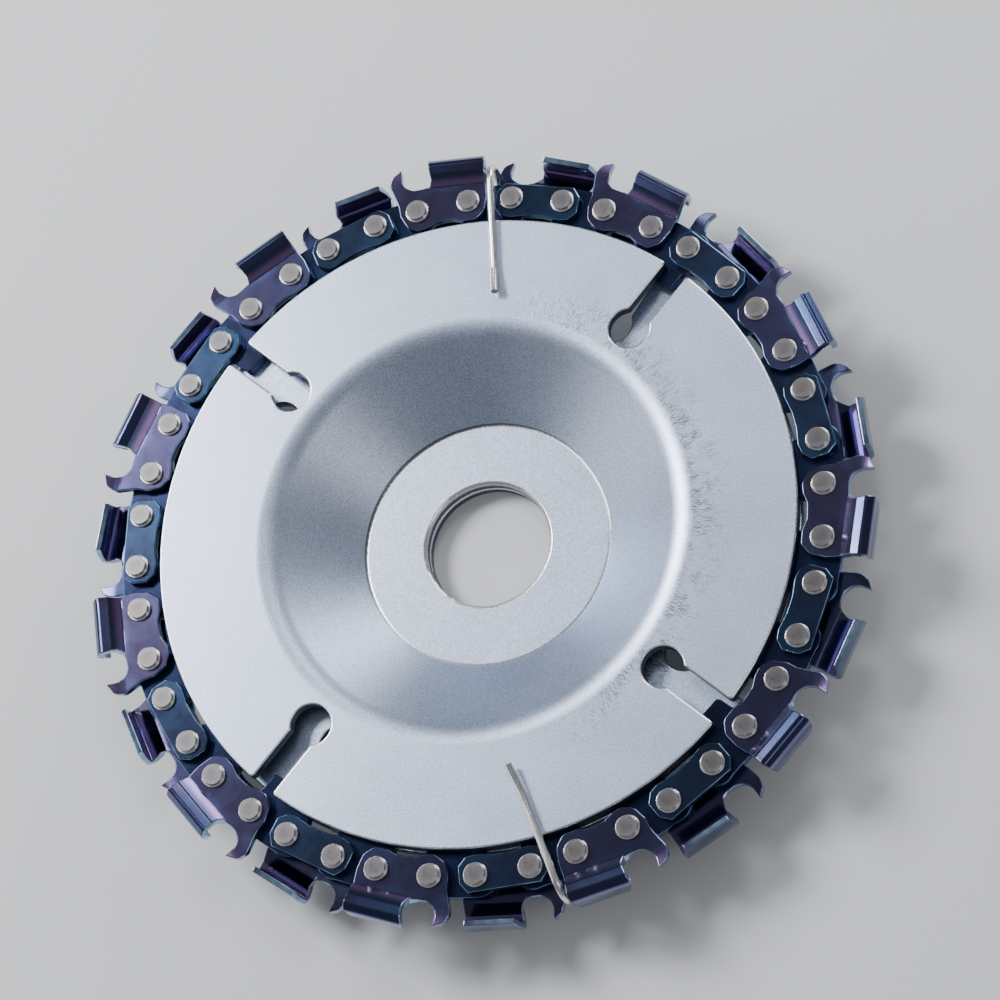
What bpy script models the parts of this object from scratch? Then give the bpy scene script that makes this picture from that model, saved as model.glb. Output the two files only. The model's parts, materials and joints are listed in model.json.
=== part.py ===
"""Carving disc for an angle grinder: a toothed saw chain gripped between two dished plates.

The spindle axis is Z, and the dished side, which takes the clamping nut, looks up. The origin lies on
the axis, in the plane of the rear hub face that seats on the grinder's flange. A chain link is drawn
in its own frame: x runs clockwise along the chain, y runs outwards, z=0 is the chain's mid-plane,
and the origin is half way between its two rivets. Its leading end, where the depth gauge of a
cutter stands, is at -x.
"""

from math import asin, cos, degrees, pi, radians, sin, sqrt

import bmesh
import bpy
from mathutils import Matrix, Vector
from mathutils.geometry import tessellate_polygon

MM = 0.001  # lengths below are in millimetres, and to_object() turns them into metres

# Chain
LINKS = 22  # outer links, and as many drive links between them
STEP = 2 * pi / LINKS
FIRST_LINK = radians(90.59)  # where the middle of outer link 1 stands
OUTER_HALF = 3.435  # half the distance between an outer link's rivets
DRIVE_HALF = 2.915
ANCHOR = 5  # the drive link (counted from 0) that carries both halves of the chain
OPEN_LINK = 16  # the drive link whose clockwise rivet is left open
SPAN = sqrt(OUTER_HALF**2 + DRIVE_HALF**2 + 2 * OUTER_HALF * DRIVE_HALF * cos(STEP / 2))
RIVET_CIRCLE = SPAN / sin(STEP / 2)  # SPAN is half the chord across one outer and one drive link

# Heights through the chain, measured from its mid-plane
DRIVE_FACE = 0.635
LOOSE = 0.05  # running clearance
SIDE_INNER = DRIVE_FACE + LOOSE
SIDE_THICK = 1.05
SIDE_OUTER = SIDE_INNER + SIDE_THICK

# Rivets
RIVET_SIDES = 8
PIN_RADIUS = 1.15
HEAD_RADIUS = 1.54
HEAD_FACE_RADIUS = 1.36
HEAD_HEIGHT = 0.715
HOLE_RADIUS = (PIN_RADIUS + LOOSE) / cos(pi / RIVET_SIDES)

# Links
LOBE_RADIUS = 2.6
TANG_DEPTH = 5.5
TANG_HALF_WIDTH = 3.55
TANG_CORNER = 0.6
TOOTH_FALL = 0.87  # how much lower a tooth's trailing end is than its cutting end

# Plates
PLATE_SEGMENTS = 40
RIM_RADIUS = 41.35
PLATE_THICK = 1.5
RIM_CHAMFER = 0.2
BORE_RADIUS = 8.0
FRONT_DEPTH = 7.5  # from the rim's face to the hub's face
HUB_GAP = 0.1
BACK_DEPTH = FRONT_DEPTH - 2 * SIDE_INNER + HUB_GAP
CHAIN_PLANE = SIDE_INNER + BACK_DEPTH + PLATE_THICK  # its height above the rear hub face

# Keyholes
KEYHOLES = 4
KEYHOLE_CENTRE = 31.7
KEYHOLE_RADIUS = 2.6
SLOT_HALF_WIDTH = 1.7
SLOT_FLARE = 0.6
FRONT_KEYHOLE = radians(45)
BACK_KEYHOLE = FRONT_KEYHOLE + radians(6.5)

# Wire clips
WIRE_RADIUS = 0.5
CLIP_TOP = 49.35  # radius of the wire's centre line at the top of the bend
LEG_HEIGHT = SIDE_INNER + PLATE_THICK + LOOSE + WIRE_RADIUS
CLIP_OFFSET = -0.1  # along the chain, towards the tooth beside it
BEND_STEPS = 8

FALL_OF_DISH = (
    # radius, share of the depth reached
    (28.4, 0.0),
    (26.8, 0.032),
    (25.3, 0.127),
)
HUB_STEP_SHARE = 0.94
HUB_RADIUS = 16.15


def clear_scene():
    for obj in list(bpy.data.objects):
        bpy.data.objects.remove(obj, do_unlink=True)


def steel(name, colour, roughness):
    material = bpy.data.materials.new(name)
    material.use_nodes = True
    shader = material.node_tree.nodes["Principled BSDF"]
    shader.inputs["Base Color"].default_value = (*colour, 1.0)
    shader.inputs["Metallic"].default_value = 1.0
    shader.inputs["Roughness"].default_value = roughness
    return material


def front_plate_zinc():
    return steel("front_plate_zinc", (0.62, 0.64, 0.67), 0.42)


def back_plate_zinc():
    return steel("back_plate_zinc", (0.58, 0.60, 0.63), 0.45)


def cutter_steel():
    return steel("cutter_steel", (0.26, 0.22, 0.36), 0.3)


def tie_strap_steel():
    return steel("tie_strap_steel", (0.28, 0.33, 0.42), 0.35)


def drive_link_steel():
    return steel("drive_link_steel", (0.22, 0.21, 0.34), 0.35)


def clip_wire():
    return steel("clip_wire", (0.72, 0.72, 0.72), 0.25)


# Places


def outer_angle(link):
    return FIRST_LINK - link * STEP


def drive_angle(link):
    return outer_angle(link) - STEP / 2


def chain_frame():
    return Matrix.Translation((0, 0, CHAIN_PLANE))


def link_radius(half):
    """How far from the axis a link's middle lies, when its rivets are this far from its middle."""
    return sqrt(RIVET_CIRCLE**2 - half**2)


def link_frame(angle, half):
    radius = link_radius(half)
    origin = Vector((radius * cos(angle), radius * sin(angle), 0))
    return chain_frame() @ Matrix.Translation(origin) @ Matrix.Rotation(angle - pi / 2, 4, "Z")


def outer_goes_clockwise(link):
    return ANCHOR < link <= OPEN_LINK


def pivot_x(clockwise, half):
    """Where along a link the rivet lies that joins it to the link nearer the anchor."""
    return -half if clockwise else half


# Flat outlines, in a link's frame


def arc(centre, radius, start, end, steps):
    """Points from one angle to another, in degrees, both ends included."""
    turns = [radians(start + (end - start) * i / steps) for i in range(steps + 1)]
    return [(centre[0] + radius * cos(t), centre[1] + radius * sin(t)) for t in turns]


def mirrored(half_outline):
    """The outline made of these points at +x and their mirror images at -x, in one turn."""
    return half_outline + [(-x, y) for x, y in reversed(half_outline)]


def strap_outline():
    lobe = arc((OUTER_HALF, 0), LOBE_RADIUS, -92, -68, 1)
    return mirrored([(1.2, -2.3), *lobe, (5.6, -1.4), (5.6, 0.6), (4.6, 2.05)])


def drive_outline():
    lobe = arc((DRIVE_HALF, 0), LOBE_RADIUS, -58, 104, 6)
    corner = arc((TANG_HALF_WIDTH - TANG_CORNER, TANG_CORNER - TANG_DEPTH), TANG_CORNER, -90, 0, 1)
    return mirrored([*corner, (TANG_HALF_WIDTH + 0.2, -3.3), *lobe])


def cutter_outline():
    """From the leading end of the tooth's bend, round the depth gauge and the foot, to its trailing end."""
    gullet = [(-1.4, 3.05), (-2.7, 3.15), (-3.9, 3.2), (-4.6, 3.65), (-5.1, 4.45)]
    gauge = [(-5.2, 6.05), (-6.05, 5.3), (-6.32, 4.4), (-6.3, 3.4), (-6.1, 1.7)]
    leading_foot = [(-5.85, 0.1), *arc((-OUTER_HALF, 0), LOBE_RADIUS, 213, 266, 2)]
    waist = [(-1.3, -2.2), (0.5, -2.1), (2.0, -2.4)]
    trailing_foot = [*arc((OUTER_HALF, 0), LOBE_RADIUS, -85, -25, 2), (6.0, 0.4), (5.84, 2.46)]
    return gullet + gauge + leading_foot + waist + trailing_foot


def tooth_section():
    """The tooth beyond its bend: for each row the outer and the inner (y, z), and x at both ends."""
    return (
        ((4.3, 2.75), (4.77, 1.8), -0.95, 5.7),
        ((5.58, 3.06), (5.53, 2.08), -1.0, 5.75),
        ((6.6, 2.7), (5.95, 1.87), -1.25, 5.85),
        ((6.85, 0.9), (6.1, 0.85), -1.25, 5.85),
        ((6.9, -0.6), (6.15, -0.6), -1.25, 5.85),
    )


# Mesh building


def loop(bm, outline, z):
    return [bm.verts.new((x, y, z)) for x, y in outline]


def circle(bm, x, radius, z):
    angles = [2 * pi * (i + 0.5) / RIVET_SIDES for i in range(RIVET_SIDES)]
    return [bm.verts.new((x + radius * cos(a), radius * sin(a), z)) for a in angles]


def rivet_circles(bm, half, radius, z):
    return [circle(bm, x, radius, z) for x in (-half, half)]


def wall(bm, lower, upper, closed=True):
    """Faces between two loops that have the same number of points."""
    for i in range(len(lower) - (0 if closed else 1)):
        j = (i + 1) % len(lower)
        bm.faces.new((lower[i], lower[j], upper[j], upper[i]))


def sheet(bm, outline, holes):
    """A flat face inside the outline and outside the holes."""
    vertices = [vertex for ring in (outline, *holes) for vertex in ring]
    rings = [[vertex.co for vertex in ring] for ring in (outline, *holes)]
    for corners in tessellate_polygon(rings):
        bm.faces.new([vertices[i] for i in corners])


def slab(bm, outline, side, inner_radius, outer_radius, closed=True):
    """A side plate with two round openings in each face. It returns its loops and the openings' circles."""
    inner = loop(bm, outline, side * SIDE_INNER)
    outer = loop(bm, outline, side * SIDE_OUTER)
    inner_circles = rivet_circles(bm, OUTER_HALF, inner_radius, side * SIDE_INNER)
    outer_circles = rivet_circles(bm, OUTER_HALF, outer_radius, side * SIDE_OUTER)
    wall(bm, inner, outer, closed)
    sheet(bm, inner, inner_circles)
    sheet(bm, outer, outer_circles)
    return inner, outer, inner_circles, outer_circles


def heads(bm, base_circles, side):
    """Closes each circle with a rivet head that stands out to this side."""
    for x, base in zip((-OUTER_HALF, OUTER_HALF), base_circles):
        top = circle(bm, x, HEAD_FACE_RADIUS, base[0].co.z + side * HEAD_HEIGHT)
        wall(bm, base, top)
        bm.faces.new(top)


def tooth(bm, inner, outer, side):
    """The bent tooth, from the plate's bend edge out and across the chain."""
    lead = [(outer[0], inner[0])]
    trail = [(outer[-1], inner[-1])]
    for (y_out, z_out), (y_in, z_in), x_lead, x_trail in tooth_section():
        for rows, x, fall in ((lead, x_lead, 0), (trail, x_trail, TOOTH_FALL)):
            outside = bm.verts.new((x, y_out - fall, side * z_out))
            inside = bm.verts.new((x, y_in - fall, side * z_in))
            rows.append((outside, inside))
    for i in range(len(lead) - 1):
        for skin in (0, 1):
            bm.faces.new((lead[i][skin], lead[i + 1][skin], trail[i + 1][skin], trail[i][skin]))
        for end in (lead, trail):
            bm.faces.new((end[i][0], end[i + 1][0], end[i + 1][1], end[i][1]))
    bm.faces.new((lead[-1][0], lead[-1][1], trail[-1][1], trail[-1][0]))


def cutter_plate(bm, side):
    """A cutter on the front (side 1) or rear (side -1), with rivet heads. It returns the pin circles."""
    inner, outer, pins, bases = slab(bm, cutter_outline(), side, PIN_RADIUS, HEAD_RADIUS, closed=False)
    tooth(bm, inner, outer, side)
    heads(bm, bases, side)
    return pins


def front_cutter_mesh(bm):
    """A front cutter with its two rivets, whose rear heads stand clear of the tie strap they hold."""
    pins = cutter_plate(bm, 1)
    under_head = -(SIDE_OUTER + LOOSE)
    ends = rivet_circles(bm, OUTER_HALF, PIN_RADIUS, under_head)
    rims = rivet_circles(bm, OUTER_HALF, HEAD_RADIUS, under_head)
    for pin, end, rim in zip(pins, ends, rims):
        wall(bm, pin, end)
        wall(bm, end, rim)
    heads(bm, rims, -1)


def rear_cutter_mesh(bm):
    """A rear cutter riveted to the tie strap in front of it."""
    rear_pins = cutter_plate(bm, -1)
    front_pins, bases = slab(bm, strap_outline(), 1, PIN_RADIUS, HEAD_RADIUS)[2:]
    for rear, front in zip(rear_pins, front_pins):
        wall(bm, rear, front)
    heads(bm, bases, 1)


def rear_strap_mesh(bm):
    circles = slab(bm, strap_outline(), -1, HOLE_RADIUS, HOLE_RADIUS)[2:]
    for inner, outer in zip(*circles):
        wall(bm, inner, outer)


def drive_link_mesh(bm):
    rings = [loop(bm, drive_outline(), z) for z in (-DRIVE_FACE, DRIVE_FACE)]
    holes = [rivet_circles(bm, DRIVE_HALF, HOLE_RADIUS, z) for z in (-DRIVE_FACE, DRIVE_FACE)]
    wall(bm, *rings)
    for ring, pair in zip(rings, holes):
        sheet(bm, ring, pair)
    for lower, upper in zip(*holes):
        wall(bm, lower, upper)


def dish(depth, rim_z, hub_radius):
    """One face of a plate as (radius, z) from the rim's flat to the bore."""
    points = [(radius, rim_z - share * depth) for radius, share in FALL_OF_DISH]
    points += [(hub_radius + LOOSE, rim_z - HUB_STEP_SHARE * depth), (hub_radius, rim_z - depth)]
    return points + [(BORE_RADIUS, rim_z - depth)]


def plate_profile(depth, top_z):
    bottom_z = top_z - PLATE_THICK
    top = [(RIM_RADIUS, top_z - RIM_CHAMFER), (RIM_RADIUS - RIM_CHAMFER, top_z)]
    bottom = [(RIM_RADIUS, bottom_z + RIM_CHAMFER), (RIM_RADIUS - RIM_CHAMFER, bottom_z)]
    under_hub = HUB_RADIUS - 0.6
    return top + dish(depth, top_z, HUB_RADIUS) + list(reversed(bottom + dish(depth, bottom_z, under_hub)))


def turned_mesh(bm, profile):
    """The profile turned about the axis."""
    rings = []
    for i in range(PLATE_SEGMENTS):
        angle = 2 * pi * i / PLATE_SEGMENTS
        rings.append([bm.verts.new((r * cos(angle), r * sin(angle), z)) for r, z in profile])
    for i, ring in enumerate(rings):
        wall(bm, ring, rings[(i + 1) % PLATE_SEGMENTS])


def keyhole_mesh(bm, first_angle):
    """Prisms in the shape of the keyholes, whose slots run out through the rim."""
    opening = degrees(asin(SLOT_HALF_WIDTH / KEYHOLE_RADIUS))
    eye = arc((KEYHOLE_CENTRE, 0), KEYHOLE_RADIUS, opening, 360 - opening, 12)
    flare_start = RIM_RADIUS - SLOT_FLARE
    flare_end = RIM_RADIUS + 2 * SLOT_FLARE
    half_mouth = SLOT_HALF_WIDTH + 3 * SLOT_FLARE
    slot = [(flare_start, SLOT_HALF_WIDTH), (flare_end, half_mouth)]
    outline = list(reversed(slot)) + eye + [(x, -y) for x, y in slot]
    for i in range(KEYHOLES):
        turn = Matrix.Rotation(first_angle + i * 2 * pi / KEYHOLES, 2)
        turned = [turn @ Vector(point) for point in outline]
        lower, upper = (loop(bm, turned, z) for z in (-4, 4))
        wall(bm, lower, upper)
        sheet(bm, lower, [])
        sheet(bm, upper, [])


# Objects


def to_object(name, make, material, matrix, *details):
    """An object from a mesh function. The mesh is drawn in the frame matrix, whose origin is the object's."""
    bm = bmesh.new()
    make(bm, *details)
    bmesh.ops.recalc_face_normals(bm, faces=bm.faces)
    bm.transform(Matrix.Scale(MM, 4))
    mesh = bpy.data.meshes.new(name)
    bm.to_mesh(mesh)
    bm.free()
    mesh.shade_smooth()
    mesh.set_sharp_from_angle(angle=radians(30))
    obj = bpy.data.objects.new(name, mesh)
    bpy.context.scene.collection.objects.link(obj)
    if material:
        mesh.materials.append(material)
    place(obj, matrix)
    return obj


def place(obj, matrix):
    """Puts an object at a matrix whose translation is in millimetres."""
    obj.location = matrix.to_translation() * MM
    obj.rotation_euler = matrix.to_euler()


def move_origin(obj, offset):
    """Moves an object's origin by this much in its own frame, and leaves its shape where it is."""
    shift = Matrix.Translation(Vector(offset) * MM)
    obj.data.transform(shift.inverted())
    bpy.context.view_layer.update()
    obj.matrix_world = obj.matrix_world @ shift


def plate(name, material, depth, top_z, keyhole_angle):
    body = to_object(name, turned_mesh, material, chain_frame(), plate_profile(depth, top_z))
    cutter = to_object(name + "_keyholes", keyhole_mesh, None, chain_frame(), keyhole_angle)
    cutter.hide_render = True
    cutter.display_type = "WIRE"
    cut = body.modifiers.new("Keyholes", "BOOLEAN")
    cut.operation = "DIFFERENCE"
    cut.solver = "EXACT"
    cut.object = cutter


def plates():
    rim_face = SIDE_INNER + PLATE_THICK
    plate("front_plate", front_plate_zinc(), FRONT_DEPTH, rim_face, FRONT_KEYHOLE)
    plate("back_plate", back_plate_zinc(), BACK_DEPTH, -SIDE_INNER, BACK_KEYHOLE)


def drive_links(material):
    """Each turns about the rivet nearer the anchor, and the anchor link about the spindle's axis."""
    for link in range(LINKS):
        frame = link_frame(drive_angle(link), DRIVE_HALF)
        obj = to_object(f"drive_link_{link + 1:02}", drive_link_mesh, material, frame)
        if link == ANCHOR:
            move_origin(obj, (0, -link_radius(DRIVE_HALF), 0))
        else:
            move_origin(obj, (pivot_x(outer_goes_clockwise(link), DRIVE_HALF), 0, 0))


def outer_links(cutter_material, strap_material):
    """Front and rear cutters take turns, each with a tie strap on the other side."""
    for link in range(LINKS):
        number = f"{link + 1:02}"
        frame = link_frame(outer_angle(link), OUTER_HALF)
        origin = (pivot_x(outer_goes_clockwise(link), OUTER_HALF), 0, 0)
        if link % 2 == 0:
            pieces = [to_object("front_cutter_" + number, front_cutter_mesh, cutter_material, frame)]
            pieces.append(to_object("rear_tie_strap_" + number, rear_strap_mesh, strap_material, frame))
        else:
            pieces = [to_object("rear_cutter_" + number, rear_cutter_mesh, cutter_material, frame)]
        for obj in pieces:
            move_origin(obj, origin)


def clip_path(leg, tip, tip_kink):
    """The wire's centre line with its top at the origin: in along the front, and out along the rear."""
    kink = -leg + tip
    front = [(tip_kink, -leg, LEG_HEIGHT + 0.6), (0, kink, LEG_HEIGHT)]
    bend = arc((-LEG_HEIGHT, 0), LEG_HEIGHT, 90, -90, BEND_STEPS)
    rear = [(x, y, -z) for x, y, z in reversed(front)]
    return front + [(0, y, z) for y, z in bend] + rear


def clip_curve(name, path):
    """A round wire along the path."""
    curve = bpy.data.curves.new(name, "CURVE")
    curve.dimensions = "3D"
    curve.bevel_depth = WIRE_RADIUS * MM
    curve.bevel_resolution = 2
    curve.use_fill_caps = True
    spline = curve.splines.new("POLY")
    spline.points.add(len(path) - 1)
    for point, place_of_point in zip(spline.points, path):
        point.co = (*(Vector(place_of_point) * MM), 1.0)
    return curve


def clip(name, link, lean, leg, tip, tip_kink, material):
    """A hairpin over a drive link. Its legs lean off the radius, and it slides out along them."""
    frame = link_frame(drive_angle(link), DRIVE_HALF)
    above_link = CLIP_TOP - link_radius(DRIVE_HALF)
    curve = clip_curve(name, clip_path(leg, tip, tip_kink))
    curve.materials.append(material)
    obj = bpy.data.objects.new(name, curve)
    bpy.context.scene.collection.objects.link(obj)
    top = Matrix.Translation((CLIP_OFFSET, above_link, 0))
    place(obj, frame @ top @ Matrix.Rotation(radians(lean), 4, "Z"))


def clips(material):
    clip("wire_clip_1", 0, 5.6, 18.3, 3.2, 0.05, material)
    clip("wire_clip_2", 10, 7.0, 17.6, 3.7, 0.3, material)


def main():
    clear_scene()
    plates()
    drive_links(drive_link_steel())
    outer_links(cutter_steel(), tie_strap_steel())
    clips(clip_wire())


main()
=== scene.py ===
"""Looks of the grinder carving disc: every stamped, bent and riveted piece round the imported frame."""

import json
from math import atan2, cos, degrees, hypot, pi, radians, sin, tan

import bmesh
import bpy
from mathutils import Euler, Matrix, Vector, noise
from mathutils.geometry import delaunay_2d_cdt


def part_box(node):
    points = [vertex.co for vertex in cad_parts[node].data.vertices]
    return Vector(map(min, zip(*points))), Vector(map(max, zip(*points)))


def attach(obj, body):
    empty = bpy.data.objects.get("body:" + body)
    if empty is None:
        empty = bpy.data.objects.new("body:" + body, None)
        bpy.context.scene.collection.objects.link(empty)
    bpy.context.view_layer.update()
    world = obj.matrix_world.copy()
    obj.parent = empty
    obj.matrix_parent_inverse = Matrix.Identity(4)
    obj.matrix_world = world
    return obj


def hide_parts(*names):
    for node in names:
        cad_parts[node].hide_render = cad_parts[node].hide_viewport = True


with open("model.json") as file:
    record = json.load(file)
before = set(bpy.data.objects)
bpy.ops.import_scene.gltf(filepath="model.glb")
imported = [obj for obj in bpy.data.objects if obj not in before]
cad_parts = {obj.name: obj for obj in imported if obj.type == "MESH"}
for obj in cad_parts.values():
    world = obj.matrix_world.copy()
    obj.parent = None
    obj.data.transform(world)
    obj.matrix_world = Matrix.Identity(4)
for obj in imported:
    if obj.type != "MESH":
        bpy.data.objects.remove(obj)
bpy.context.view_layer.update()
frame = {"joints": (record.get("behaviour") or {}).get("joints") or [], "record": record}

MM = 0.001  # lengths are in millimetres, apart from those that are said to be in metres

# Read from the frame. The three rivets' places are in metres.
JOINTS = {joint["name"]: joint for joint in frame["joints"]}
BODY_OF = {node: body for body, nodes in frame["record"]["behaviour"]["bodies"].items() for node in nodes}
LINKS = sum(node.startswith("drive_link_") for node in BODY_OF)
STEP = 2 * pi / LINKS
SAMPLE = 7  # the outer link whose two rivets, and the next link's, give the chain's sizes
LEAD_RIVET = Vector(JOINTS[f"pivot_outer_{SAMPLE:02}"]["pos_m"])
TRAIL_RIVET = Vector(JOINTS[f"pivot_drive_{SAMPLE:02}"]["pos_m"])
NEXT_RIVET = Vector(JOINTS[f"pivot_outer_{SAMPLE + 1:02}"]["pos_m"])
OUTER_HALF = (TRAIL_RIVET - LEAD_RIVET).length / 2 / MM
DRIVE_HALF = (NEXT_RIVET - TRAIL_RIVET).length / 2 / MM
CHAIN_PLANE = LEAD_RIVET.z / MM
RIM_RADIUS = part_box("front_plate")[1].x / MM
FRONT_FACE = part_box("front_plate")[1].z / MM
BACK_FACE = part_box("back_plate")[1].z / MM
DRIVE_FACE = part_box("drive_link_01")[1].z / MM - CHAIN_PLANE
SIDE_INNER = CHAIN_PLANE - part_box("rear_tie_strap_01")[1].z / MM
SIDE_OUTER = CHAIN_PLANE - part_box("rear_tie_strap_01")[0].z / MM
PLATE_THICK = FRONT_FACE - CHAIN_PLANE - SIDE_INNER
FRONT_DEPTH = FRONT_FACE - PLATE_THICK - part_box("front_plate")[0].z / MM
BACK_DEPTH = BACK_FACE - PLATE_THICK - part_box("back_plate")[0].z / MM
LOOSE = SIDE_INNER - DRIVE_FACE

# Stamped edges
EDGE = 0.18  # rounding of a link's edge
PLATE_EDGE = 0.27
EDGE_TURNS = (90, 60, 30, 0)


# Flat outlines. A link's x runs clockwise along the chain and its y outwards.


def arc(centre, radius, start, end, steps):
    """Points from one angle to another, in degrees, both ends included."""
    turns = [radians(start + (end - start) * i / steps) for i in range(steps + 1)]
    return [(centre[0] + radius * cos(t), centre[1] + radius * sin(t)) for t in turns]


def fillet(corners, steps=4):
    """A closed outline from (x, y, rounding) corners. A rounding of 0 keeps the corner."""
    points = []
    for i, (x, y, rounding) in enumerate(corners):
        here = Vector((x, y))
        back = Vector(corners[i - 1][:2]) - here
        ahead = Vector(corners[(i + 1) % len(corners)][:2]) - here
        if not rounding:
            points.append(here)
            continue
        half_angle = max(back.angle(ahead) / 2, 0.05)
        reach = min(rounding / tan(half_angle), 0.48 * back.length, 0.48 * ahead.length)
        start = here + back.normalized() * reach
        end = here + ahead.normalized() * reach
        for k in range(steps + 1):
            t = k / steps
            points.append(start.lerp(here, t).lerp(here.lerp(end, t), t))
    return points


def plain(points):
    return [(x, y, 0) for x, y in points]


def mirrored(half_outline):
    """The corners at +x and their mirror images at -x, in one turn."""
    return half_outline + [(-x, y, r) for x, y, r in reversed(half_outline)]


def strap_outline():
    half = [
        (1.1, -2.25, 1.5),
        (3.3, -2.62, 0.8),
        (4.55, -2.42, 0.5),
        (5.6, -1.4, 0.35),
        (5.6, 0.75, 0.35),
        (4.6, 2.05, 0.25),
    ]
    return fillet(mirrored(half))


LOBE_RADIUS = 2.6


def drive_outline():
    """A drive link: a round lobe about each rivet, and a tang towards the disc's middle."""
    lobe = plain(arc((DRIVE_HALF, 0), LOBE_RADIUS, -58, 104, 20))
    half = [(3.55, -5.5, 0.7), (3.75, -3.3, 1.2), *lobe]
    return fillet(mirrored(half))


# The tooth's sheet leaves the side plate at a bend line that runs out of line with the chain.
BEND_TILT = radians(6.3)
BEND_HEIGHT = 2.93  # where the bend line crosses the link's middle
BEND_FROM = -2.2  # the bend's end beside the gullet, with the depth gauge beyond it
GAUGE_SET = 0.045  # rise of the depth gauge over its length squared
TOOTH_LEAD_IN = 3.0  # flat sheet before the bend line
TOOTH_PATH = (
    # how far outwards from the bend line, height over the side plate's middle, rounding
    (0.0, 0.0, 0.45),
    (1.5, 1.1, 0.5),
    (2.5, 1.36, 0.4),
    (3.1, 0.95, 0.5),
    (3.25, -0.5, 3.0),
    (3.1, -1.9, 0.0),
)
FRONT_REACH = 6.95  # from the link's middle to the depth gauge's outer edge
REAR_REACH = 6.62  # less, to stay clear of the clips' rear legs
TOP_PLATE_SHARE = 0.72  # the top plate's thickness as a share of the side plate's
THINNING_START = 2.6  # along the sheet from the bend line
THINNING_LENGTH = 1.4
TOOTH_LENGTH = 6.6


def on_sheet(along, out):
    """A point of the flat sheet, given along the bend line and outwards from it."""
    x = along * cos(BEND_TILT) + out * sin(BEND_TILT)
    y = BEND_HEIGHT - along * sin(BEND_TILT) + out * cos(BEND_TILT)
    return x, y


def from_sheet(x, y):
    """The same point the other way round: along the bend line and outwards from it."""
    y -= BEND_HEIGHT
    return x * cos(BEND_TILT) - y * sin(BEND_TILT), x * sin(BEND_TILT) + y * cos(BEND_TILT)


def side_plate_corners(reach):
    """From the gullet round the depth gauge, this far from the middle, to the trailing foot."""
    gullet = [(-2.6, 3.12, 0.6), (-3.75, 3.12, 1.4), (-4.75, 3.75, 1.4), (-5.12, 4.8, 1.0)]
    gauge = [(-5.05, 6.2, 0.12), (-reach + 0.42, 5.5, 1.0), (-reach, 4.2, 1.5)]
    gauge_root = [(-6.35, 2.5, 1.5), (-5.95, 1.2, 1.0)]
    leading_foot = [(-5.85, -0.2, 1.0), (-5.05, -1.95, 1.2), (-3.6, -2.75, 1.0)]
    waist = [(-2.3, -2.6, 1.0), (-1.0, -2.05, 1.5), (1.0, -2.05, 1.5), (2.4, -2.6, 1.0)]
    trailing_foot = [(4.2, -2.75, 1.2), (5.5, -1.6, 1.2), (6.0, 0.4, 1.2)]
    return gullet + gauge + gauge_root + leading_foot + waist + trailing_foot


def tooth_corners():
    """The tooth's part of the blank: out along its trailing edge, and back along its cutting edge."""
    trailing_edge = [(6.05, 0.0, 0.5), (6.05, 1.9, 0.5), (6.1, 3.0, 0.5), (5.9, 3.9, 0.5)]
    tip = [(5.4, TOOTH_LENGTH, 0.15), (-0.9, TOOTH_LENGTH, 0.1)]
    cutting_edge = [(-1.7, 3.75, 0.2), (-1.45, 2.7, 1.0), (-1.2, 1.3, 1.0), (-1.65, 0.12, 0.6)]
    corners = trailing_edge + tip + cutting_edge
    return [(*on_sheet(along, out), rounding) for along, out, rounding in corners]


def cutter_outline(reach):
    """The cutter's blank before it is bent."""
    return fillet(side_plate_corners(reach) + tooth_corners(), 6)


KEYHOLES = 4
FRONT_KEYHOLE = radians(45)
BACK_KEYHOLE = radians(51.5)
EYE_CENTRE = 31.7
EYE_RADIUS = 2.6
HALF_SLOT = 1.7
SLOT_START = 2.35  # from the eye's centre
SLOT_CORNER = 0.55  # rounding at the rim
SEGMENT_POINTS = 64  # steps of the rim from one keyhole to the next
SLOT_POINTS = 4  # steps of them that the slot takes up on each side


def keyhole_outline():
    """One keyhole about +x, as corners of the plate's outline from one lip of the slot to the other."""
    opening = degrees(atan2(HALF_SLOT, 2.0))
    side = [(RIM_RADIUS - 0.03, -HALF_SLOT, SLOT_CORNER), (EYE_CENTRE + SLOT_START, -HALF_SLOT, 0.0)]
    eye = plain(arc((EYE_CENTRE, 0), EYE_RADIUS, -opening, -(360 - opening), 28))
    return side + eye + [(x, -y, r) for x, y, r in reversed(side)]


def ragged(angle):
    """How far the rim's cut edge strays from its circle."""
    place = Vector((cos(angle), sin(angle), 0.3)) * 9
    fine = noise.noise(place * 6)
    patch = max(0.0, noise.noise(place * 0.35) + 0.1)
    return 0.02 * noise.noise(place) + 0.06 * patch * fine - 0.02


def plate_outline(first_keyhole):
    corners = []
    gap = 2 * pi / KEYHOLES
    for i in range(KEYHOLES):
        turn = Matrix.Rotation(first_keyhole + i * gap, 2)
        for x, y, rounding in keyhole_outline():
            corners.append((*(turn @ Vector((x, y))), rounding))
        for k in range(SLOT_POINTS, SEGMENT_POINTS - SLOT_POINTS + 1):
            angle = first_keyhole + (i + k / SEGMENT_POINTS) * gap
            radius = RIM_RADIUS + ragged(angle)
            corners.append((radius * cos(angle), radius * sin(angle), 0))
    return fillet(corners)


# Mesh building


def edge_moves(points, distance):
    """How far each point of a closed counter-clockwise outline goes for its rounded edge: inwards if the
    distance is positive, and less at tips too sharp for it."""
    sign = 1 if distance > 0 else -1
    moves = []
    limits = []
    for i, here in enumerate(points):
        back = here - points[i - 1]
        ahead = points[(i + 1) % len(points)] - here
        shorter = min(back.length, ahead.length)
        back.normalize()
        ahead.normalize()
        half_turn = (back.x * ahead.y - back.y * ahead.x) / max(1 + back.dot(ahead), 0.01)
        limits.append(min(abs(distance), 0.4 * shorter / max(half_turn * sign, 1e-4)))
        normal = Vector((-ahead.y - back.y, ahead.x + back.x))
        moves.append(normal / max(1 + back.dot(ahead), 0.6))
    limits = graded(points, limits)
    return [move * limit * sign for move, limit in zip(moves, limits)]


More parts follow.
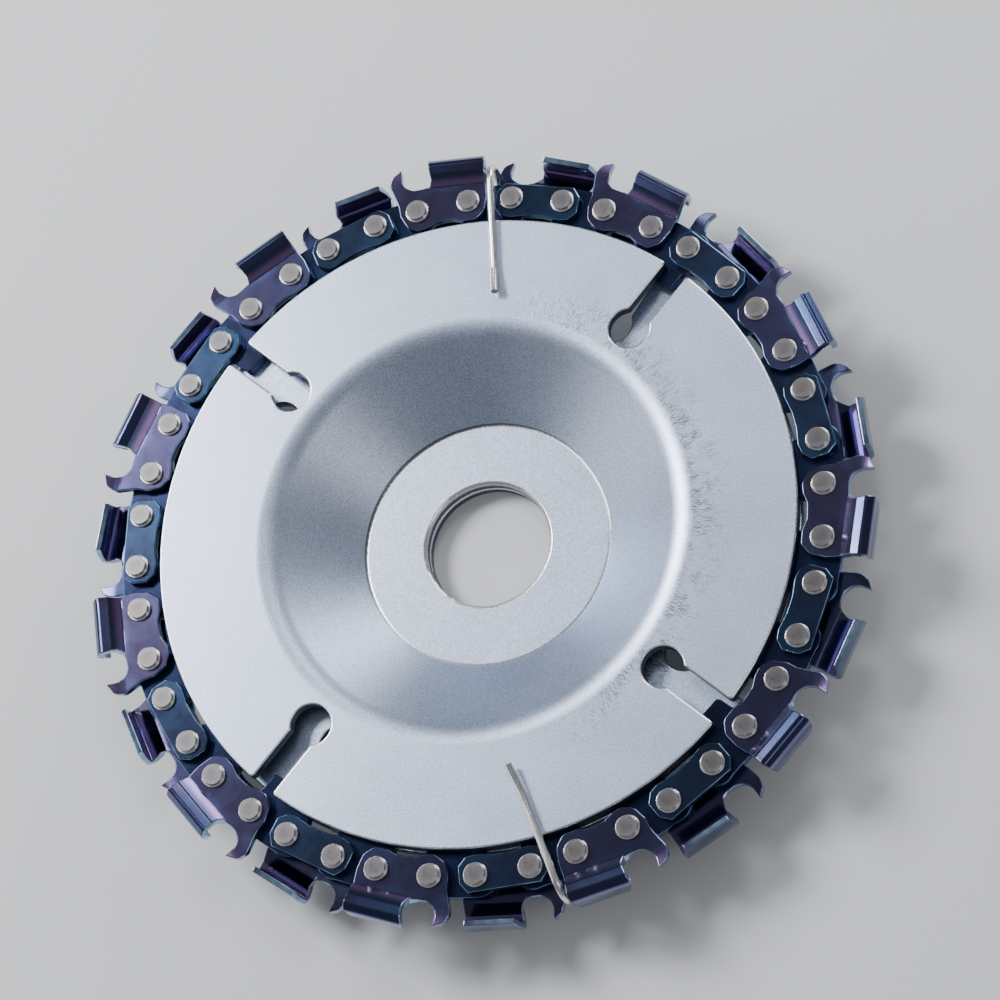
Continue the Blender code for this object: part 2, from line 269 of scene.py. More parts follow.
def graded(points, limits):
    """The limits, lowered until each is at most half its distance above its neighbours'."""
    limits = list(limits)
    for order in (1, -1):
        for i in range(0, order * 2 * len(points), order):
            here, last = i % len(points), (i - order) % len(points)
            limits[here] = min(limits[here], limits[last] + 0.5 * (points[here] - points[last]).length)
    return limits


def without_repeats(points):
    """The outline without points that lie on top of one another."""
    points = [Vector(point) for point in points]
    return [p for i, p in enumerate(points) if (p - points[i - 1]).length > 0.004]


def ring(bm, points, z):
    return [bm.verts.new((p[0], p[1], z)) for p in points]


def wall(bm, lower, upper):
    for i in range(len(lower)):
        j = (i + 1) % len(lower)
        bm.faces.new((lower[i], lower[j], upper[j], upper[i]))


def sheet(bm, outline, holes):
    """A flat face inside the outline and outside the round holes."""
    vertices = []
    edges = []
    owners = []
    for number, loop in enumerate((outline, *holes)):
        first = len(vertices)
        vertices += loop
        owners += [number] * len(loop)
        edges += [(first + i, first + (i + 1) % len(loop)) for i in range(len(loop))]
    inside = 1
    filled = delaunay_2d_cdt([vertex.co.xy for vertex in vertices], edges, [], inside, 1e-6)
    faces, sources = filled[2:4]
    for corners in faces:
        corners = [sources[i][0] for i in corners]
        touched = {owners[i] for i in corners}
        if len(touched) > 1 or 0 in touched:
            bm.faces.new([vertices[i] for i in corners])


def rounded_side(bm, points, low, high, edge, outwards=1):
    """A stamped edge along the outline. It returns the loops that bound the lower and the upper face."""
    moves = edge_moves(points, outwards * edge)
    loops = [(1 - cos(radians(turn)), low + edge * (1 - sin(radians(turn)))) for turn in EDGE_TURNS]
    loops += [(share, low + high - z) for share, z in reversed(loops)]
    rings = [ring(bm, [p + move * share for p, move in zip(points, moves)], z) for share, z in loops]
    mark_rings(bm, rings, [1 - share for share, _ in loops])
    for lower, upper in zip(rings, rings[1:]):
        wall(bm, lower, upper)
    return rings[0], rings[-1]


def new_bmesh():
    bm = bmesh.new()
    bm.verts.layers.float.new("edge")
    bm.faces.layers.int.new("flat")
    return bm


def mark_rings(bm, rings, shares):
    """Says how far each ring lies towards the cut wall, 0 on a face and 1 on the wall, for the painted
    highlight and shade.
    """
    layer = bm.verts.layers.float["edge"]
    for loop, share in zip(rings, shares):
        for vertex in loop:
            vertex[layer] = share


def mark_flats(bm):
    layer = bm.faces.layers.int["flat"]
    bm.normal_update()
    for face in bm.faces:
        face[layer] = int(abs(face.normal.z) > 0.99999)


HOLE_RADIUS = 1.22
HOLE_POINTS = 32


def stamped(outline, hole_centres, low, high):
    """A link's plate with rounded edges and round holes."""
    bm = new_bmesh()
    faces = [rounded_side(bm, without_repeats(outline), low, high, EDGE)]
    for centre in hole_centres:
        circle = without_repeats(arc((centre, 0), HOLE_RADIUS, 0, 360, HOLE_POINTS)[:-1])
        faces.append(rounded_side(bm, circle, low, high, EDGE / 2, -1))
    for side in (0, 1):
        sheet(bm, faces[0][side], [pair[side] for pair in faces[1:]])
    mark_flats(bm)
    return bm


def turned(bm, profile, segments, wobble=None):
    """Rings for the (radius, z) profile round the axis, with faces between them. It returns the rings."""
    angles = [2 * pi * i / segments for i in range(segments)]
    rings = []
    for radius, z in profile:
        if radius == 0:
            rings.append([bm.verts.new((0, 0, z))])
            continue
        radii = [radius + (wobble(angle, radius) if wobble else 0) for angle in angles]
        rings.append([bm.verts.new((r * cos(a), r * sin(a), z)) for r, a in zip(radii, angles)])
    for upper, lower in zip(rings, rings[1:]):
        for i in range(segments):
            j = (i + 1) % segments
            above = [upper[i % len(upper)], upper[j % len(upper)]]
            below = [lower[j % len(lower)], lower[i % len(lower)]]
            bm.faces.new(list(dict.fromkeys(above + below)))
    return rings


class ToothSheet:
    """The curved middle of the tooth's sheet, by the distance along it from the bend line."""

    def __init__(self):
        self.points = fillet([(-TOOTH_LEAD_IN, 0.0, 0.0), *TOOTH_PATH], 8)
        self.starts = [-TOOTH_LEAD_IN]
        for here, ahead in zip(self.points, self.points[1:]):
            self.starts.append(self.starts[-1] + (ahead - here).length)

    def at(self, distance):
        """The point as (out, height), the normal there, and the share of the side plate's thickness."""
        i = max(k for k in range(len(self.points) - 1) if self.starts[k] <= distance or k == 0)
        here, ahead = self.points[i], self.points[i + 1]
        along = (ahead - here).normalized()
        place = here + along * (distance - self.starts[i])
        normal = Vector((-along.y, along.x))
        thinning = min(max((distance - THINNING_START) / THINNING_LENGTH, 0), 1)
        return place, normal, 1 - thinning * (1 - TOP_PLATE_SHARE)

    def cuts(self):
        """Where the sheet needs edges across it: in each bend, and just before the first."""
        return [-0.3, 0.0] + [s for s in self.starts[1:-1] if 0.01 < s < TOOTH_LENGTH - 0.01]


def cut_across(bm, distances):
    """Edges across the blank, this far outwards from the bend line."""
    normal = Vector((sin(BEND_TILT), cos(BEND_TILT), 0))
    for distance in distances:
        geometry = bm.verts[:] + bm.edges[:] + bm.faces[:]
        point = Vector((*on_sheet(0, distance), 0))
        bmesh.ops.bisect_plane(bm, geom=geometry, plane_co=point, plane_no=normal, dist=1e-5)


def bend_tooth(bm):
    """Bends the blank beyond the bend line outwards and over the chain, and sets the depth gauge."""
    path = ToothSheet()
    cut_across(bm, path.cuts())
    middle = (SIDE_INNER + SIDE_OUTER) / 2
    for vertex in bm.verts:
        along, out = from_sheet(vertex.co.x, vertex.co.y)
        if out > 0 and along < BEND_FROM:
            vertex.co.z += GAUGE_SET * out**2
        if out <= 0 or along < BEND_FROM:
            continue
        place, up, share = path.at(out)
        lift = (vertex.co.z - middle) * share
        x, y = on_sheet(along, place.x + up.x * lift)
        vertex.co = (x, y, middle + place.y + up.y * lift)


def cutter_bmesh(reach):
    """A cutter whose depth gauge reaches this far from the link's middle."""
    bm = stamped(cutter_outline(reach), (-OUTER_HALF, OUTER_HALF), SIDE_INNER, SIDE_OUTER)
    bend_tooth(bm)
    return bm


def strap_bmesh():
    return stamped(strap_outline(), (-OUTER_HALF, OUTER_HALF), SIDE_INNER, SIDE_OUTER)


def drive_bmesh():
    return stamped(drive_outline(), (-DRIVE_HALF, DRIVE_HALF), -DRIVE_FACE, DRIVE_FACE)


RIVET_HEAD = (
    # radius, height over the side plate's face: a flat button, then a thin flared collar
    (0.0, 0.705),
    (0.6, 0.715),
    (1.24, 0.715),
    (1.31, 0.69),
    (1.34, 0.63),
    (1.35, 0.5),
    (1.35, 0.26),
    (1.37, 0.21),
    (1.46, 0.21),
    (1.53, 0.16),
    (1.55, 0.07),
    (1.48, 0.015),
    (1.16, 0.012),
)
RIVET_POINTS = 40


def rivet_bmesh():
    """A pin whose peened heads stand on both side plates."""
    top = [(radius, SIDE_OUTER + height) for radius, height in RIVET_HEAD]
    bm = new_bmesh()
    turned(bm, top + [(radius, -z) for radius, z in reversed(top)], RIVET_POINTS)
    mark_flats(bm)
    return bm


# Dished plates
PLATE_POINTS = 256
BORE_RADIUS = 8.0
HUB_RADIUS = 16.15
UNDER_STEP = 0.45  # how much smaller the hub's step is on the other face
LIP_RADIUS = 26.7  # where the wall's slope would meet the flat rim
UNDER_LIP = 27.1
LIP_LIMIT = 30.4  # a point on the flat rim, for the size of the lip's rounding
WALL_SHARE = 0.94  # the share of the depth that the conical wall falls before the hub's step
BORE_EDGE = (
    # how far out from the bore, how far down, and the share for painted light: highlight at middling
    # shares, shade near 1
    (0.75, 0, 0),
    (0.5, -0.03, 0.85),
    (0.42, 0, 0.4),
    (0.14, -0.18, 0.5),
    (0.04, -0.45, 0.9),
    (0, -0.7, 1),
    (0, 0.2 - PLATE_THICK, 1),
    (0.2, -PLATE_THICK, 0.4),
)
BURR_SIDE = radians(255)  # where the bore's burr is longest


def dish_profile(depth):
    """One face of a plate from its flat rim to the hub, as (radius, fall)."""
    corners = [
        (LIP_LIMIT, 0, 0),
        (LIP_RADIUS, 0, 5.6),
        (HUB_RADIUS + 0.08, -WALL_SHARE * depth, 0.08),
        (HUB_RADIUS, -0.955 * depth, 0.05),
        (HUB_RADIUS - 0.03, -depth - 0.06, 0.1),
        (HUB_RADIUS - 0.4, -depth, 0.3),
        (BORE_RADIUS, -depth, 0),
    ]
    return fillet(corners, 12)[1:-1]


def under_profile(depth):
    """The other face, a sheet's thickness below."""
    corners = [
        (LIP_LIMIT, 0, 0),
        (UNDER_LIP, 0, 7.0),
        (HUB_RADIUS - UNDER_STEP, -WALL_SHARE * depth, 0.4),
        (HUB_RADIUS - UNDER_STEP - 0.25, -depth, 0.35),
        (BORE_RADIUS, -depth, 0),
    ]
    return fillet(corners, 8)[1:-1]


def burr(angle, radius):
    """How far the punched bore's edge strays, most on one side."""
    if not 0.01 < radius - BORE_RADIUS < 0.55:
        return 0
    place = Vector((cos(angle), sin(angle), 0.1)) * 9
    one_side = 0.15 + max(0, cos(angle - BURR_SIDE))
    stray = one_side * (0.16 * noise.noise(place) + 0.1 * noise.noise(place * 3))
    return min(max(stray, -0.03), 0.2)


def hub_step_painted_light(radius):
    """The share for painted light on a ring of the dished face: shade in the hub's step, a highlight just
    inside it.
    """
    if abs(radius - HUB_RADIUS) < 0.06:
        return 1
    return 0.4 if 0 < HUB_RADIUS - radius < 0.3 else 0


def plate_bmesh(depth, face, first_keyhole):
    """A pressed plate: its flat rim follows the outline, and the dish is turned."""
    bm = new_bmesh()
    outline = without_repeats(plate_outline(first_keyhole))
    under, over = rounded_side(bm, outline, face - PLATE_THICK, face, PLATE_EDGE)
    top = [(radius, face + fall) for radius, fall in dish_profile(depth)]
    bore = [(BORE_RADIUS + out, face - depth + fall) for out, fall, _ in BORE_EDGE]
    bottom = [(radius, face - PLATE_THICK + fall) for radius, fall in under_profile(depth)]
    rings = turned(bm, top + bore + list(reversed(bottom)), PLATE_POINTS, burr)
    shares = [hub_step_painted_light(radius) for radius, _ in top] + [share for _, _, share in BORE_EDGE]
    mark_rings(bm, rings, shares)
    sheet(bm, over, [rings[0]])
    sheet(bm, under, [rings[-1]])
    mark_flats(bm)
    return bm


# Materials


class Steel:
    """A material under construction, metal to begin with, and short names for its nodes."""

    def __init__(self, name):
        self.material = bpy.data.materials.new(name)
        self.material.use_nodes = True
        self.tree = self.material.node_tree
        self.shader = self.tree.nodes["Principled BSDF"]
        self.shader.inputs["Metallic"].default_value = 1.0
        self.place = self.node("ShaderNodeTexCoord").outputs["Object"]

    def node(self, kind, **inputs):
        made = self.tree.nodes.new(kind)
        for name, value in inputs.items():
            self.put(made.inputs[name.replace("_", " ")], value)
        return made

    def put(self, socket, value):
        if isinstance(value, bpy.types.NodeSocket):
            self.tree.links.new(value, socket)
        else:
            socket.default_value = value

    def set(self, name, value):
        self.put(self.shader.inputs[name], value)

    def noise(self, size, detail=2.0, roughness=0.5, place=None):
        """Noise whose features are about this many millimetres."""
        made = self.node("ShaderNodeTexNoise", Scale=1 / (size * MM), Detail=detail, Roughness=roughness)
        self.put(made.inputs["Vector"], place or self.place)
        return made.outputs["Fac"]

    def math(self, operation, a, b=0.0):
        made = self.tree.nodes.new("ShaderNodeMath")
        made.operation = operation
        self.put(made.inputs[0], a)
        self.put(made.inputs[1], b)
        return made.outputs[0]

    def product(self, *factors):
        result = factors[0]
        for factor in factors[1:]:
            result = self.math("MULTIPLY", result, factor)
        return result

    def between(self, value, low, high, to_low=0.0, to_high=1.0):
        """The value's place between two bounds, as a smooth step from one output to another."""
        made = self.tree.nodes.new("ShaderNodeMapRange")
        made.interpolation_type = "SMOOTHSTEP"
        for socket, number in zip(made.inputs, (value, low, high, to_low, to_high)):
            self.put(socket, number)
        return made.outputs[0]

    def mix(self, share, first, second, blend="MIX"):
        made = self.tree.nodes.new("ShaderNodeMix")
        made.data_type = "RGBA"
        made.blend_type = blend
        self.put(made.inputs["Factor"], share)
        for socket, colour in zip((made.inputs[6], made.inputs[7]), (first, second)):
            self.put(socket, colour if isinstance(colour, bpy.types.NodeSocket) else (*colour, 1.0))
        return made.outputs[2]

    def tinted(self, colour, tint):
        return self.mix(1.0, colour, tint, "MULTIPLY")

    def stretched(self, scale):
        """Coordinates squeezed along an axis, for streaks."""
        made = self.tree.nodes.new("ShaderNodeMapping")
        made.inputs["Scale"].default_value = scale
        self.put(made.inputs["Vector"], self.place)
        return made.outputs["Vector"]

    def attribute(self, name):
        made = self.tree.nodes.new("ShaderNodeAttribute")
        made.attribute_name = name
        return made.outputs["Fac"]

    def part(self, axis):
        made = self.node("ShaderNodeSeparateXYZ", Vector=self.place)
        return made.outputs[axis]

    def from_axis(self):
        """Distance from the object's Z axis, in metres."""
        return self.math("SQRT", self.math("ADD", self.squared("X"), self.squared("Y")))

    def squared(self, axis):
        part = self.part(axis)
        return self.math("MULTIPLY", part, part)

    def bump(self, height, depth, strength=1.0, under=None):
        """A bump normal. The height's full range is this deep, in millimetres."""
        made = self.node("ShaderNodeBump", Strength=strength, Distance=depth * MM, Height=height)
        if under:
            self.put(made.inputs["Normal"], under)
        return made.outputs["Normal"]

    def own_random(self):
        return self.tree.nodes.new("ShaderNodeObjectInfo").outputs["Random"]


FRONT_ZINC = (0.53, 0.61, 0.77)
BACK_ZINC = (0.51, 0.59, 0.75)
# painted highlight for the plates' rounded edges
EDGE_HIGHLIGHT = (0.95, 0.95, 0.94)
# painted shade for the cut walls
WALL_SHADE = (0.09, 0.09, 0.1)
SCRATCH = (0.1, 0.11, 0.13)


def zinc(name, tint):
    """Zinc-plated pressed sheet: speckled grain, soft clouds, scuffs, a painted highlight on the edges and
    painted shade on the walls.
    """
    steel = Steel(name)
    speckle = steel.noise(0.2, 3.0, 0.75)
    grain = steel.noise(0.35, 3.0, 0.7)
    clouds = steel.noise(9.0, 4.0, 0.6)
    scuffs = scuff_mask(steel)
    turn = steel.attribute("edge")
    edge = steel.product(steel.between(turn, 0.02, 0.2), steel.between(turn, 0.6, 0.85, 1.0, 0.0))
    # painted shade on the cut walls of the rim, the keyholes, the bore and the hub's step
    wall_shade = steel.between(turn, 0.75, 0.95)
    body = steel.mix(steel.between(clouds, 0.3, 0.7), tuple(c * 0.95 for c in tint), tint)
    spots = steel.mix(steel.between(speckle, 0.35, 0.65), (0.68, 0.69, 0.71), (1.12, 1.11, 1.1))
    body = steel.tinted(body, spots)
    body = steel.mix(steel.product(scuffs, 0.85), body, SCRATCH)
    # painted highlight: pale colour on the rounding of each stamped edge
    body = steel.mix(steel.product(edge, 0.85), body, EDGE_HIGHLIGHT)
    steel.set("Base Color", steel.mix(steel.product(wall_shade, 0.8), body, WALL_SHADE))
    rough = steel.between(grain, 0.3, 0.7, 0.36, 0.4)
    rough = steel.math("ADD", rough, steel.between(clouds, 0.3, 0.7, -0.01, 0.015))
    steel.set("Roughness", steel.math("SUBTRACT", rough, steel.product(edge, 0.12)))
    coarse = steel.bump(clouds, 0.015, 0.5)
    fine = steel.bump(grain, 0.02, 0.5, steel.bump(speckle, 0.012, 0.6, coarse))
    steel.set("Normal", steel.bump(scuffs, -0.02, 0.5, fine))
    return steel.material


SCUFFS_FROM = (0.0274, 0.0284)  # metres from the axis, none to all
SCUFFS_TO = (0.0288, 0.0345)  # metres from the axis, all to none
SCUFFS_SIDE = (0.002, 0.02)  # metres along +X, none to all
SCUFF_SLANTS = (0.35, -0.5, 0.05)


def scuff_mask(steel):
    """Short scratches outside the lip of the dish, dense on one side of the plate."""
    radius = steel.from_axis()
    angle = steel.math("ARCTAN2", steel.part("Y"), steel.part("X"))
    lines = 0.0
    for slant in SCUFF_SLANTS:
        along = steel.math("MULTIPLY", steel.math("ADD", radius, slant), 0.1)
        across = steel.math("ADD", steel.product(angle, 0.03), steel.product(radius, slant))
        place = steel.node("ShaderNodeCombineXYZ", X=across, Y=along).outputs[0]
        streaks = steel.between(steel.noise(0.15, 1.0, 0.5, place), 0.57, 0.64)
        lines = steel.math("MAXIMUM", lines, streaks)
    patches = steel.between(steel.noise(2.0, 2.0), 0.3, 0.6)
    inner = steel.between(radius, *SCUFFS_FROM)
    outer = steel.between(radius, *SCUFFS_TO, 1.0, 0.0)
    side = steel.between(steel.part("X"), *SCUFFS_SIDE)
    return steel.product(lines, patches, inner, outer, side)


# where the painted highlight along the tooth's bend lies
BEND_FOOT = (0.0017, 0.0019)  # metres from the chain's plane, where the tooth's bend starts
BEND_END = (0.0020, 0.0026)  # metres from the chain's plane, where it ends


def blued(name, deep, sheen, painted_highlight, bend_highlight=None):
    """Heat-blued spring steel: a deep colour, glossier on its edges, with a painted highlight there and a
    painted sheen where it turns away.
    """
    steel = Steel(name)
    clouds = steel.noise(4.0, 2.0, 0.5)
    grain = steel.noise(0.16, 2.0, 0.6)
    facing = steel.node("ShaderNodeLayerWeight", Blend=0.5).outputs["Facing"]
    turned_away = steel.between(facing, 0.25, 0.95)
    shift = steel.between(clouds, 0.3, 0.7, 0.0, 0.6)
    shift = steel.math("ADD", shift, steel.product(steel.own_random(), 0.4))
    body = steel.mix(shift, deep, sheen)
    # painted highlight: a violet band along the tooth's bend
    if bend_highlight:
        height = steel.math("ABSOLUTE", steel.part("Z"))
        bend = steel.product(steel.between(height, *BEND_FOOT), steel.between(height, *BEND_END, 1.0, 0.0))
        body = steel.mix(steel.product(bend, 0.7), body, bend_highlight)
    # painted sheen: paler where the surface turns away from the camera
    body = steel.mix(steel.product(turned_away, 0.5), body, painted_highlight)
    # painted highlight on the rounded edges, patchy with the clouds
    edge = steel.between(steel.attribute("edge"), 0.1, 0.8)
    patchy_highlight = steel.between(clouds, 0.35, 0.65, 0.35, 0.95)
    steel.set("Base Color", steel.mix(steel.product(edge, patchy_highlight), body, painted_highlight))
    rough = steel.between(grain, 0.3, 0.7, 0.15, 0.2)
    rough = steel.math("ADD", rough, steel.between(clouds, 0.35, 0.7, 0.0, 0.05))
    steel.set("Roughness", steel.math("SUBTRACT", rough, steel.product(edge, 0.06)))
    steel.set("Normal", steel.bump(clouds, 0.05, 0.3, steel.bump(grain, 0.003, 0.5)))
    return steel.material


def cutter_blue():
    return blued(
        "cutter_blue",
        deep=(0.072, 0.062, 0.122),
        sheen=(0.04, 0.056, 0.128),
        painted_highlight=(0.4, 0.55, 0.75),
        bend_highlight=(0.3, 0.19, 0.42),
    )


def strap_blue():
    return blued(
        "strap_blue",
        deep=(0.044, 0.055, 0.11),
        sheen=(0.031, 0.064, 0.127),
        painted_highlight=(0.32, 0.55, 0.75),
    )


def drive_blue():
    return blued(
        "drive_blue",
        deep=(0.03, 0.034, 0.075),
        sheen=(0.022, 0.035, 0.085),
        painted_highlight=(0.15, 0.22, 0.4),
    )


BUTTON_FLAT = (0.0004, 0.0012)  # metres from the rivet's axis, worn middle to clean flat
BUTTON_RIM = (0.00125, 0.00132)  # metres from the rivet's axis, flat to rounded rim


def rivet_steel():
    """Satin rivet ends with a fine grain, a darker middle and a painted highlight on the rim and collar."""
    steel = Steel("rivet_steel")
    radius = steel.from_axis()
    grain = steel.noise(0.14, 3.0, 0.7)
    body = steel.mix(steel.between(grain, 0.3, 0.7), (0.15, 0.143, 0.142), (0.21, 0.2, 0.198))
    body = steel.mix(steel.own_random(), body, steel.tinted(body, (0.86, 0.86, 0.88)))
    body = steel.mix(steel.between(radius, *BUTTON_FLAT), steel.tinted(body, (0.8, 0.78, 0.8)), body)
    # painted highlight: the rounded rim and the collar beyond it take a pale colour
    rim = steel.between(radius, *BUTTON_RIM)
    steel.set("Base Color", steel.mix(rim, body, (0.8, 0.79, 0.78)))
    rough = steel.between(grain, 0.3, 0.7, 0.3, 0.4)
    steel.set("Roughness", steel.math("SUBTRACT", rough, steel.product(rim, 0.16)))
    steel.set("Normal", steel.bump(grain, 0.006, 0.5))
    return steel.material


def wire_steel():
    """Bright drawn wire with fine lines along it."""
    steel = Steel("wire_steel")
    lines = steel.noise(0.1, 1.0, 0.5, steel.stretched((1.0, 0.03, 1.0)))
    clouds = steel.noise(1.5, 2.0, 0.5)
    steel.set("Base Color", steel.mix(clouds, (0.72, 0.7, 0.68), (0.85, 0.84, 0.83)))
    steel.set("Roughness", steel.between(lines, 0.3, 0.7, 0.14, 0.28))
    steel.set("Normal", steel.bump(lines, 0.006, 0.4))
    return steel.material


def floor_paint():
    paint = Steel("floor_paint")
    paint.set("Metallic", 0.0)
    clouds = paint.noise(60, 3.0)
    paint.set("Base Color", paint.mix(clouds, (0.74, 0.75, 0.76), (0.78, 0.785, 0.79)))
    paint.set("Roughness", 0.7)
    paint.set("Normal", paint.bump(paint.noise(0.8, 2.0), 0.03, 0.2))
    return paint.material


# Objects


def mesh_from(name, bm, material):
    """The mesh in metres, shaded smooth."""
    bmesh.ops.remove_doubles(bm, verts=bm.verts, dist=1e-4)
    bmesh.ops.dissolve_degenerate(bm, edges=bm.edges, dist=1e-4)
    bmesh.ops.recalc_face_normals(bm, faces=bm.faces)
    bm.transform(Matrix.Scale(MM, 4))
    mesh = bpy.data.meshes.new(name)
    bm.to_mesh(mesh)
    bm.free()
    mesh.shade_smooth()
    blend_edges(mesh)
    mesh.materials.append(material)
    return mesh


def blend_edges(mesh):
    """Gives every vertex of a flat face that face's normal, so its rounded edges blend into it."""
    flats = [item.value for item in mesh.attributes["flat"].data]
    sums = [(Vector(), Vector()) for _ in mesh.vertices]
    for polygon in mesh.polygons:
        for vertex in polygon.vertices:
            sums[vertex][flats[polygon.index]].xyz += polygon.normal * (polygon.area / MM**2)
    normals = [(flat if flat.length > 0 else rest).normalized() for rest, flat in sums]
    mesh.normals_split_custom_set_from_vertices(normals)


def piece(name, data, matrix, body, slot, *nodes):
    """An object at the matrix that rides on a body and stands for the nodes; the slot is not used."""
    obj = bpy.data.objects.new(name, data)
    bpy.context.scene.collection.objects.link(obj)
    obj.matrix_world = matrix
    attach(obj, body)
    if nodes:
        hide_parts(*nodes)
    return obj


def between_rivets(first, second):
    """The frame half way between two rivets: x from the first to the second, z up."""
    along = (second - first).normalized()
    across = Vector((0, 0, 1)).cross(along)
    turn = Matrix((along, across, Vector((0, 0, 1)))).transposed()
    return Matrix.Translation((first + second) / 2) @ turn.to_4x4()


OUTER_FRAME = between_rivets(LEAD_RIVET, TRAIL_RIVET)
DRIVE_FRAME = between_rivets(TRAIL_RIVET, NEXT_RIVET)


def link_frame(sample_frame, number):
    """The place of a link of this number, from the sample link's."""
    return Matrix.Rotation(-(number - SAMPLE) * STEP, 4, "Z") @ sample_frame


def mirrored_bmesh(bm):
    """The same shape on the rear of the chain."""
    bm.transform(Matrix.Scale(-1, 4, (0, 0, 1)))
    return bm


def add_plates():
    front_shape = plate_bmesh(FRONT_DEPTH, FRONT_FACE, FRONT_KEYHOLE)
    front = mesh_from("front_plate_look", front_shape, zinc("front_zinc", FRONT_ZINC))
    piece("plate_front", front, Matrix(), "front_plate", "front_plate_zinc", "front_plate")
    back_shape = plate_bmesh(BACK_DEPTH, BACK_FACE, BACK_KEYHOLE)
    back = mesh_from("back_plate_look", back_shape, zinc("back_zinc", BACK_ZINC))
    piece("plate_back", back, Matrix(), "back_plate", "back_plate_zinc", "back_plate")


def cutter_meshes():
    """The cutter for the chain's front and the one for its rear."""
    blue = cutter_blue()
    front = mesh_from("cutter_front", cutter_bmesh(FRONT_REACH), blue)
    return front, mesh_from("cutter_rear", mirrored_bmesh(cutter_bmesh(REAR_REACH)), blue)


def strap_meshes():
    """The tie strap for the chain's front and the one for its rear."""
    blue = strap_blue()
    front = mesh_from("strap_front", strap_bmesh(), blue)
    return front, mesh_from("strap_rear", mirrored_bmesh(strap_bmesh()), blue)


def add_rivets(label, data, at, body):
    for end, x in (("lead", -OUTER_HALF), ("trail", OUTER_HALF)):
        place = at @ Matrix.Translation((x * MM, 0, 0))
        piece(f"rivet_{label}_{end}", data, place, body, "cutter_steel")


def add_outer_links():
    """Each outer link's cutter, tie strap and two rivets. The odd links have their cutter in front."""
    front_cutter, rear_cutter = cutter_meshes()
    front_strap, rear_strap = strap_meshes()
    rivet = mesh_from("rivet", rivet_bmesh(), rivet_steel())
    for number in range(1, LINKS + 1):
        label = f"{number:02}"
        at = link_frame(OUTER_FRAME, number)
        if number % 2:
            cutter, strap = front_cutter, rear_strap
            node = "front_cutter_" + label
            strap_nodes = ["rear_tie_strap_" + label]
        else:
            cutter, strap = rear_cutter, front_strap
            node = "rear_cutter_" + label
            strap_nodes = []
        body = BODY_OF[node]
        piece("cutter_" + label, cutter, at, body, "cutter_steel", node)
        piece("strap_" + label, strap, at, body, "tie_strap_steel", *strap_nodes)
        add_rivets(label, rivet, at, body)


def add_drive_links():
    drive = mesh_from("drive", drive_bmesh(), drive_blue())
    for number in range(1, LINKS + 1):
        node = f"drive_link_{number:02}"
        at = link_frame(DRIVE_FRAME, number)
        piece(f"drive_{number:02}", drive, at, BODY_OF[node], "drive_link_steel", node)


WIRE_RADIUS = 0.5
CLIP_TOP = 49.35  # radius of the wire's centre line at the top of its bend
CLIP_OFFSET = -0.1  # along the chain, towards the tooth beside it
TIP_LIFT = 0.6  # how far a leg's tip bends away from the plate
CLIPS = (
    # name, drive link, length of leg, length of tip, sideways bend of tip
    ("1", 1, 18.6, 3.3, 0.1),
    ("2", 11, 17.6, 3.7, 0.3),
)


def clip_path(leg, tip, tip_kink, height):
    """The wire's centre line with its top at the origin, in along the front and out along the rear."""
    straight = leg - tip
    front = [(tip_kink, -leg, height + TIP_LIFT)]
    front += [(tip_kink * 0.06, -straight - 0.25, height + 0.1 * TIP_LIFT)]
    front += [(0, -straight + 0.3, height)]
    front += [(0, -straight + (straight - height) * i / 6, height) for i in range(1, 6)]
    bend = arc((-height, 0), height, 90, -90, 24)
    return front + [(0, y, z) for y, z in bend] + [(x, y, -z) for x, y, z in reversed(front)]


def clip_curve(name, path, material):
    """A round wire along the path, with its ends cut off square."""
    curve = bpy.data.curves.new(name, "CURVE")
    curve.dimensions = "3D"
    curve.bevel_depth = WIRE_RADIUS * MM
    curve.bevel_resolution = 8
    curve.use_fill_caps = True
    spline = curve.splines.new("POLY")
    spline.points.add(len(path) - 1)
    for point, place in zip(spline.points, path):
        point.co = (*(Vector(place) * MM), 1.0)
    spline.use_smooth = True
    curve.materials.append(material)
    return curve


def add_clips():
    material = wire_steel()
    height = FRONT_FACE - CHAIN_PLANE + LOOSE + WIRE_RADIUS
    for name, link, leg, tip, tip_kink in CLIPS:
        joint = JOINTS[f"clip_{name}_pull"]
        at = link_frame(DRIVE_FRAME, link)
        above = CLIP_TOP - hypot(at.translation.x, at.translation.y) / MM
        outwards = atan2(joint["axis"][1], joint["axis"][0]) - pi / 2
        top = at @ Matrix.Translation((CLIP_OFFSET * MM, above * MM, 0))
        matrix = Matrix.Translation(top.translation) @ Matrix.Rotation(outwards, 4, "Z")
        curve = clip_curve("clip_" + name, clip_path(leg, tip, tip_kink, height), material)
        piece("clip_" + name, curve, matrix, "wire_clip_" + name, "clip_wire", "wire_clip_" + name)


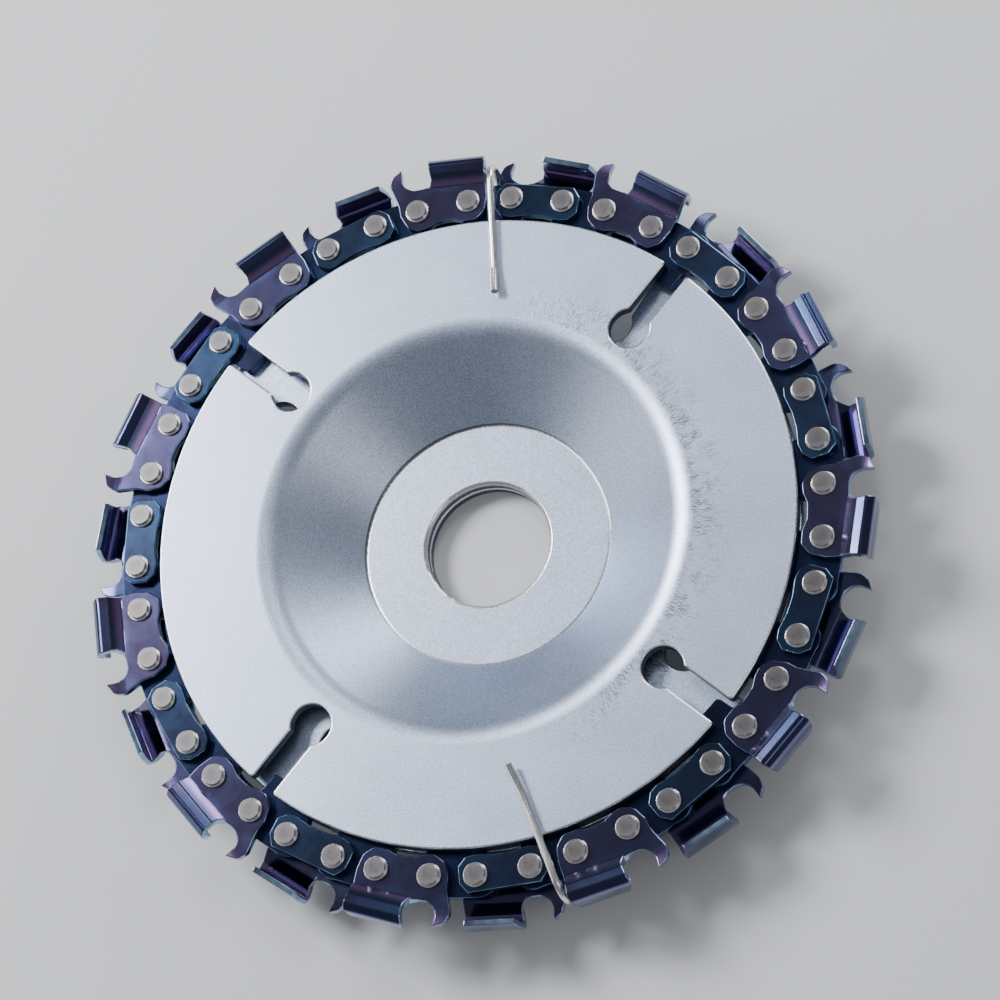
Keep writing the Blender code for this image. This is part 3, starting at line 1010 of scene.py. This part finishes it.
# Stage
FLOOR_HALF = 1500
FLOOR_DROP = 0.05  # the floor's gap under the rear hub face
LIGHTS = (
    # name, place in metres, width in metres, watts, colour
    ("key", (-0.375, 0.26, 0.445), 0.22, 4.4, (0.97, 0.98, 1.0)),
    ("low_left", (-0.58, -0.05, 0.12), 0.35, 0.6, (1.0, 1.0, 1.0)),
    ("low_right", (0.32, 0.5, 0.145), 0.28, 1.8, (0.93, 0.96, 1.0)),
    ("high", (0.1, 0.5, 0.75), 0.25, 1.3, (0.97, 0.98, 1.0)),
    ("fill", (0.45, -0.26, 0.54), 0.25, 0.5, (1.0, 0.93, 0.92)),
)
WORLD_COLOUR = (0.9, 0.93, 1.0, 1.0)
WORLD_STRENGTH = 0.24
CAMERA_PLACE = (0.10476, -0.155621, 0.403107)  # metres
CAMERA_TURN = (20.118, 16.074, -4.6)  # degrees
CAMERA_LENS = 126


def add_floor():
    bm = new_bmesh()
    bmesh.ops.create_grid(bm, x_segments=1, y_segments=1, size=FLOOR_HALF)
    bm.transform(Matrix.Translation((0, 0, -FLOOR_DROP)))
    floor = bpy.data.objects.new("floor", mesh_from("floor", bm, floor_paint()))
    bpy.context.scene.collection.objects.link(floor)


def add_light(name, place, size, power, colour):
    """A square soft light that faces the disc."""
    data = bpy.data.lights.new(name, "AREA")
    data.shape = "SQUARE"
    data.size = size
    data.energy = power
    data.color = colour
    light = bpy.data.objects.new(name, data)
    light.location = place
    light.rotation_euler = (-Vector(place)).to_track_quat("-Z", "Y").to_euler()
    bpy.context.scene.collection.objects.link(light)


def add_world():
    world = bpy.data.worlds.new("studio")
    world.use_nodes = True
    background = world.node_tree.nodes["Background"]
    background.inputs["Color"].default_value = WORLD_COLOUR
    background.inputs["Strength"].default_value = WORLD_STRENGTH
    bpy.context.scene.world = world


def add_camera():
    """The camera at the photograph's viewing angle."""
    data = bpy.data.cameras.new("camera")
    data.lens = CAMERA_LENS
    data.sensor_width = 36
    camera = bpy.data.objects.new("camera", data)
    turn = Euler([radians(angle) for angle in CAMERA_TURN]).to_matrix().to_4x4()
    camera.matrix_world = Matrix.Translation(CAMERA_PLACE) @ turn
    bpy.context.scene.collection.objects.link(camera)
    bpy.context.scene.camera = camera


add_plates()
add_outer_links()
add_drive_links()
add_clips()
add_floor()
for light in LIGHTS:
    add_light(*light)
add_world()
add_camera()
